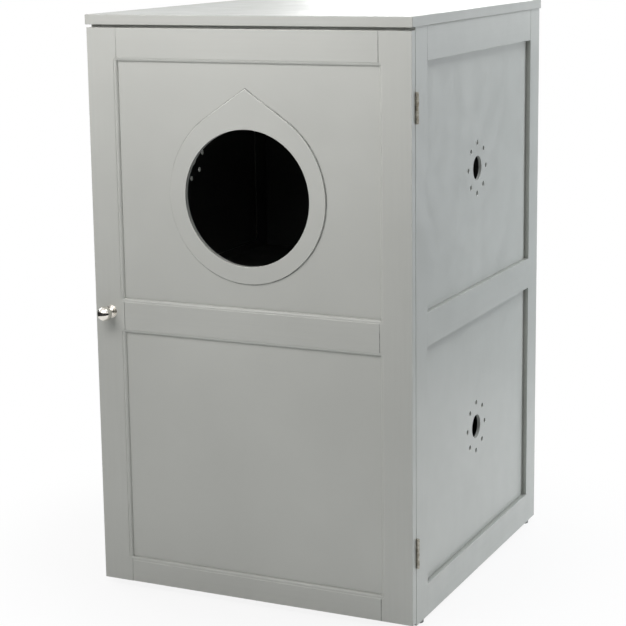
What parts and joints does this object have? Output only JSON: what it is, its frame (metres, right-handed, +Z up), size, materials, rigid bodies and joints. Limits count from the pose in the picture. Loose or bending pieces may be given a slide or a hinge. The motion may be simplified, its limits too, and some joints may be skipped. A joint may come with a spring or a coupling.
{
  "type": "cat litter box cabinet",
  "caption": "Tall painted pet cabinet for a litter tray: framed sides with vents, overlapping top, hinged full-height door with a round entrance in a pointed surround, and an inner shelf.",
  "frame": {"origin": "on the floor, under the middle of the whole cabinet, counted in depth from the knob's tip to the rear edge of the top; X = 0 is the middle plane of the carcass", "axes": "+X to the right as seen from the front, +Y to the back, +Z up; the door faces -Y"},
  "size_m": [0.5331, 0.605, 0.9],
  "materials": {
    "painted_board": "satin grey lacquer on fibreboard",
    "back_board": "satin grey lacquer on thin fibreboard",
    "knob_nickel": "polished nickel plating",
    "hinge_metal": "satin nickel plating",
    "zinc_steel": "bright zinc plating",
    "cam_zinc": "die-cast zinc",
    "dowel_wood": "bare beech",
    "catch_plastic": "moulded",
    "magnet_ferrite": "sintered ferrite",
    "glide_plastic": "moulded"
  },
  "bodies": {
    "cabinet": {"top_panel": "painted_board", "floor_board": "painted_board", "front_top_rail": "painted_board", "rear_top_rail": "painted_board", "middle_shelf": "painted_board", "left_front_stile": "painted_board", "left_rear_stile": "painted_board", "left_bottom_rail": "painted_board", "left_mid_rail": "painted_board", "left_top_rail": "painted_board", "left_lower_panel": "painted_board", "left_upper_panel": "painted_board", "left_shelf_cleat": "painted_board", "right_front_stile": "painted_board", "right_rear_stile": "painted_board", "right_bottom_rail": "painted_board", "right_mid_rail": "painted_board", "right_top_rail": "painted_board", "right_lower_panel": "painted_board", "right_upper_panel": "painted_board", "right_shelf_cleat": "painted_board", "back_panel": "back_board", "upper_hinge_side_leaf": "hinge_metal", "upper_hinge_pin": "hinge_metal", "lower_hinge_side_leaf": "hinge_metal", "lower_hinge_pin": "hinge_metal", "hinge_side_screws": "hinge_metal", "cam_bolts": "zinc_steel", "back_screws": "zinc_steel", "cleat_screws": "zinc_steel", "catch_screws": "zinc_steel", "glide_nails": "zinc_steel", "catch_pole_plates": "zinc_steel", "cam_discs": "cam_zinc", "carcass_dowels": "dowel_wood", "catch_housing": "catch_plastic", "catch_magnet": "magnet_ferrite", "glides": "glide_plastic"},
    "door": {"door_latch_stile": "painted_board", "door_hinge_stile": "painted_board", "door_bottom_rail": "painted_board", "door_mid_rail": "painted_board", "door_top_rail": "painted_board", "door_lower_panel": "painted_board", "door_upper_panel": "painted_board", "door_surround": "painted_board", "knob": "knob_nickel", "knob_screw": "zinc_steel", "strike_plate": "zinc_steel", "strike_screw": "zinc_steel", "hinge_door_screws": "hinge_metal", "upper_hinge_door_leaf": "hinge_metal", "lower_hinge_door_leaf": "hinge_metal"}
  },
  "joints": [
    {"name": "door_hinge", "type": "hinge", "parent": "cabinet", "child": "door", "pos_m": [0.2657, -0.257, 0.4455], "axis": [0, 0, 1], "range_deg": [0, 180]}
  ]
}
